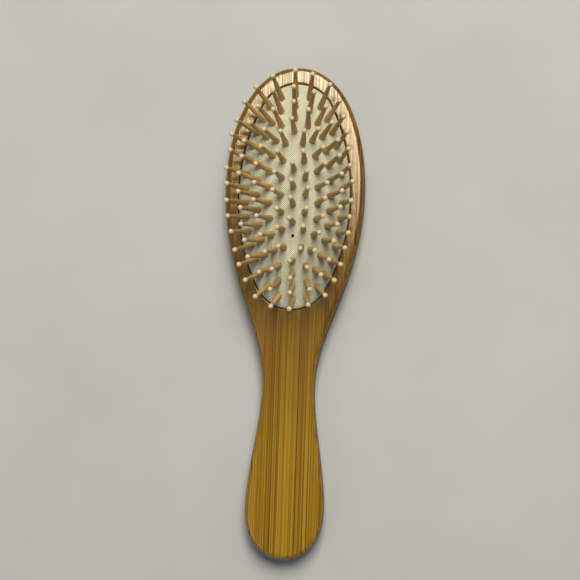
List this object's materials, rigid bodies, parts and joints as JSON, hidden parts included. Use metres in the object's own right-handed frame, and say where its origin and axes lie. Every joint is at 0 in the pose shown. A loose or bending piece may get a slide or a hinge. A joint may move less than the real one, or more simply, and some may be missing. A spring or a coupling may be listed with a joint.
{
  "type": "cushion brush",
  "caption": "Oval cushion grooming brush: one-piece bamboo handle body, cloth-faced air cushion and ball-tipped wooden pins that press in and rock.",
  "frame": {"origin": "middle of the flat back face, under the middle of the brush's length", "axes": "+Y from the handle to the top of the head, +Z out of the back face along the pins, +X to the right seen from the pin side with the head up"},
  "size_m": [0.0632, 0.222, 0.0366],
  "materials": {
    "bamboo": "satin lacquer",
    "rubber": "matte",
    "woven_cloth": "plain weave, rubberised",
    "backing_sheet": "matte felt",
    "pin_wood": "satin"
  },
  "bodies": {
    "root": {"handle_body": "bamboo", "rubber_cushion": "rubber", "cloth_facing": "woven_cloth"},
    "pin_bed": {"pin_backing": "backing_sheet"},
    "pin_row_01_pins": {"pin_row_01": "pin_wood"},
    "pin_row_02_pins": {"pin_row_02": "pin_wood"},
    "pin_row_03_pins": {"pin_row_03": "pin_wood"},
    "pin_row_04_pins": {"pin_row_04": "pin_wood"},
    "pin_row_05_pins": {"pin_row_05": "pin_wood"},
    "pin_row_06_pins": {"pin_row_06": "pin_wood"},
    "pin_row_07_pins": {"pin_row_07": "pin_wood"},
    "pin_row_08_pins": {"pin_row_08": "pin_wood"},
    "pin_row_09_pins": {"pin_row_09": "pin_wood"},
    "pin_row_10_pins": {"pin_row_10": "pin_wood"},
    "pin_row_11_pins": {"pin_row_11": "pin_wood"},
    "pin_row_12_pins": {"pin_row_12": "pin_wood"},
    "pin_row_13_pins": {"pin_row_13": "pin_wood"},
    "pin_row_14_pins": {"pin_row_14": "pin_wood"},
    "pin_row_15_pins": {"pin_row_15": "pin_wood"},
    "pin_row_16_pins": {"pin_row_16": "pin_wood"},
    "pin_row_17_pins": {"pin_row_17": "pin_wood"},
    "pin_row_18_pins": {"pin_row_18": "pin_wood"},
    "pin_row_19_pins": {"pin_row_19": "pin_wood"},
    "pin_row_20_pins": {"pin_row_20": "pin_wood"},
    "pin_row_21_pins": {"pin_row_21": "pin_wood"},
    "pin_row_22_pins": {"pin_row_22": "pin_wood"},
    "pin_row_23_pins": {"pin_row_23": "pin_wood"}
  },
  "joints": [
    {"name": "cushion_press", "type": "slide", "parent": "root", "child": "pin_bed", "axis": [0, 0, 1], "range_m": [-0.003, 0], "stiffness_N_per_m": 2500, "deforming": ["rubber_cushion", "cloth_facing"]},
    {"name": "row_01_rock", "type": "hinge", "parent": "pin_bed", "child": "pin_row_01_pins", "pos_m": [0, 0.0978, 0.0126], "axis": [1, 0, 0], "range_deg": [-8, 8], "stiffness_Nm_per_rad": 0.09, "deforming": ["rubber_cushion", "cloth_facing"]},
    {"name": "row_02_rock", "type": "hinge", "parent": "pin_bed", "child": "pin_row_02_pins", "pos_m": [0, 0.09359, 0.01305], "axis": [1, 0, 0], "range_deg": [-8, 8], "stiffness_Nm_per_rad": 0.09, "deforming": ["rubber_cushion", "cloth_facing"]},
    {"name": "row_03_rock", "type": "hinge", "parent": "pin_bed", "child": "pin_row_03_pins", "pos_m": [0, 0.08938, 0.01395], "axis": [1, 0, 0], "range_deg": [-8, 8], "stiffness_Nm_per_rad": 0.06, "deforming": ["rubber_cushion", "cloth_facing"]},
    {"name": "row_04_rock", "type": "hinge", "parent": "pin_bed", "child": "pin_row_04_pins", "pos_m": [0, 0.08517, 0.01391], "axis": [1, 0, 0], "range_deg": [-8, 8], "stiffness_Nm_per_rad": 0.15, "deforming": ["rubber_cushion", "cloth_facing"]},
    {"name": "row_05_rock", "type": "hinge", "parent": "pin_bed", "child": "pin_row_05_pins", "pos_m": [0, 0.08096, 0.01455], "axis": [1, 0, 0], "range_deg": [-8, 8], "stiffness_Nm_per_rad": 0.15, "deforming": ["rubber_cushion", "cloth_facing"]},
    {"name": "row_06_rock", "type": "hinge", "parent": "pin_bed", "child": "pin_row_06_pins", "pos_m": [0, 0.07675, 0.01577], "axis": [1, 0, 0], "range_deg": [-8, 8], "stiffness_Nm_per_rad": 0.18, "deforming": ["rubber_cushion", "cloth_facing"]},
    {"name": "row_07_rock", "type": "hinge", "parent": "pin_bed", "child": "pin_row_07_pins", "pos_m": [0, 0.07255, 0.01415], "axis": [1, 0, 0], "range_deg": [-8, 8], "stiffness_Nm_per_rad": 0.12, "deforming": ["rubber_cushion", "cloth_facing"]},
    {"name": "row_08_rock", "type": "hinge", "parent": "pin_bed", "child": "pin_row_08_pins", "pos_m": [0, 0.06834, 0.01565], "axis": [1, 0, 0], "range_deg": [-8, 8], "stiffness_Nm_per_rad": 0.18, "deforming": ["rubber_cushion", "cloth_facing"]},
    {"name": "row_09_rock", "type": "hinge", "parent": "pin_bed", "child": "pin_row_09_pins", "pos_m": [0, 0.06413, 0.01636], "axis": [1, 0, 0], "range_deg": [-8, 8], "stiffness_Nm_per_rad": 0.15, "deforming": ["rubber_cushion", "cloth_facing"]},
    {"name": "row_10_rock", "type": "hinge", "parent": "pin_bed", "child": "pin_row_10_pins", "pos_m": [0, 0.05992, 0.01541], "axis": [1, 0, 0], "range_deg": [-8, 8], "stiffness_Nm_per_rad": 0.18, "deforming": ["rubber_cushion", "cloth_facing"]},
    {"name": "row_11_rock", "type": "hinge", "parent": "pin_bed", "child": "pin_row_11_pins", "pos_m": [0, 0.05571, 0.01564], "axis": [1, 0, 0], "range_deg": [-8, 8], "stiffness_Nm_per_rad": 0.15, "deforming": ["rubber_cushion", "cloth_facing"]},
    {"name": "row_12_rock", "type": "hinge", "parent": "pin_bed", "child": "pin_row_12_pins", "pos_m": [0, 0.0515, 0.0166], "axis": [1, 0, 0], "range_deg": [-8, 8], "stiffness_Nm_per_rad": 0.12, "deforming": ["rubber_cushion", "cloth_facing"]},
    {"name": "row_13_rock", "type": "hinge", "parent": "pin_bed", "child": "pin_row_13_pins", "pos_m": [0, 0.04729, 0.01563], "axis": [1, 0, 0], "range_deg": [-8, 8], "stiffness_Nm_per_rad": 0.15, "deforming": ["rubber_cushion", "cloth_facing"]},
    {"name": "row_14_rock", "type": "hinge", "parent": "pin_bed", "child": "pin_row_14_pins", "pos_m": [0, 0.04308, 0.01539], "axis": [1, 0, 0], "range_deg": [-8, 8], "stiffness_Nm_per_rad": 0.18, "deforming": ["rubber_cushion", "cloth_facing"]},
    {"name": "row_15_rock", "type": "hinge", "parent": "pin_bed", "child": "pin_row_15_pins", "pos_m": [0, 0.03887, 0.01632], "axis": [1, 0, 0], "range_deg": [-8, 8], "stiffness_Nm_per_rad": 0.15, "deforming": ["rubber_cushion", "cloth_facing"]},
    {"name": "row_16_rock", "type": "hinge", "parent": "pin_bed", "child": "pin_row_16_pins", "pos_m": [0, 0.03466, 0.01559], "axis": [1, 0, 0], "range_deg": [-8, 8], "stiffness_Nm_per_rad": 0.18, "deforming": ["rubber_cushion", "cloth_facing"]},
    {"name": "row_17_rock", "type": "hinge", "parent": "pin_bed", "child": "pin_row_17_pins", "pos_m": [0, 0.03045, 0.01408], "axis": [1, 0, 0], "range_deg": [-8, 8], "stiffness_Nm_per_rad": 0.12, "deforming": ["rubber_cushion", "cloth_facing"]},
    {"name": "row_18_rock", "type": "hinge", "parent": "pin_bed", "child": "pin_row_18_pins", "pos_m": [0, 0.02625, 0.0157], "axis": [1, 0, 0], "range_deg": [-8, 8], "stiffness_Nm_per_rad": 0.18, "deforming": ["rubber_cushion", "cloth_facing"]},
    {"name": "row_19_rock", "type": "hinge", "parent": "pin_bed", "child": "pin_row_19_pins", "pos_m": [0, 0.02204, 0.01446], "axis": [1, 0, 0], "range_deg": [-8, 8], "stiffness_Nm_per_rad": 0.15, "deforming": ["rubber_cushion", "cloth_facing"]},
    {"name": "row_20_rock", "type": "hinge", "parent": "pin_bed", "child": "pin_row_20_pins", "pos_m": [0, 0.01783, 0.01381], "axis": [1, 0, 0], "range_deg": [-8, 8], "stiffness_Nm_per_rad": 0.15, "deforming": ["rubber_cushion", "cloth_facing"]},
    {"name": "row_21_rock", "type": "hinge", "parent": "pin_bed", "child": "pin_row_21_pins", "pos_m": [0, 0.01362, 0.01383], "axis": [1, 0, 0], "range_deg": [-8, 8], "stiffness_Nm_per_rad": 0.06, "deforming": ["rubber_cushion", "cloth_facing"]},
    {"name": "row_22_rock", "type": "hinge", "parent": "pin_bed", "child": "pin_row_22_pins", "pos_m": [0, 0.00941, 0.01292], "axis": [1, 0, 0], "range_deg": [-8, 8], "stiffness_Nm_per_rad": 0.09, "deforming": ["rubber_cushion", "cloth_facing"]},
    {"name": "row_23_rock", "type": "hinge", "parent": "pin_bed", "child": "pin_row_23_pins", "pos_m": [0, 0.0052, 0.01245], "axis": [1, 0, 0], "range_deg": [-8, 8], "stiffness_Nm_per_rad": 0.09, "deforming": ["rubber_cushion", "cloth_facing"]}
  ]
}
